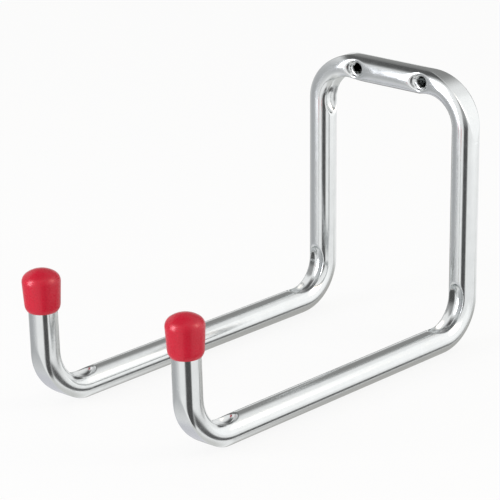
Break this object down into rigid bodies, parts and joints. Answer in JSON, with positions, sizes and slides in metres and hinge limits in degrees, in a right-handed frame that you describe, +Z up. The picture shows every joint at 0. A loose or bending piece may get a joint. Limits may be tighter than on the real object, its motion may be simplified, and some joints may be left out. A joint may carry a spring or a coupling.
{
  "type": "garage utility hook",
  "caption": "Wall hook bent from bright steel tube, with dimpled screw holes in its top bar and red soft caps on its upturned tips, for hanging hoses and tools.",
  "frame": {"origin": "on the wall plane, midway between the two screw holes", "axes": "+Z up as mounted, +X along the top bar, +Y into the wall, so the arms reach out along -Y"},
  "size_m": [0.1284, 0.254, 0.162],
  "materials": {
    "zinc_steel": "bright zinc plate on drawn steel tube",
    "red_vinyl": "soft dip-moulded vinyl, satin gloss"
  },
  "bodies": {
    "root": {"hook_tube": "zinc_steel", "cap_left": "red_vinyl", "cap_right": "red_vinyl"}
  },
  "joints": []
}
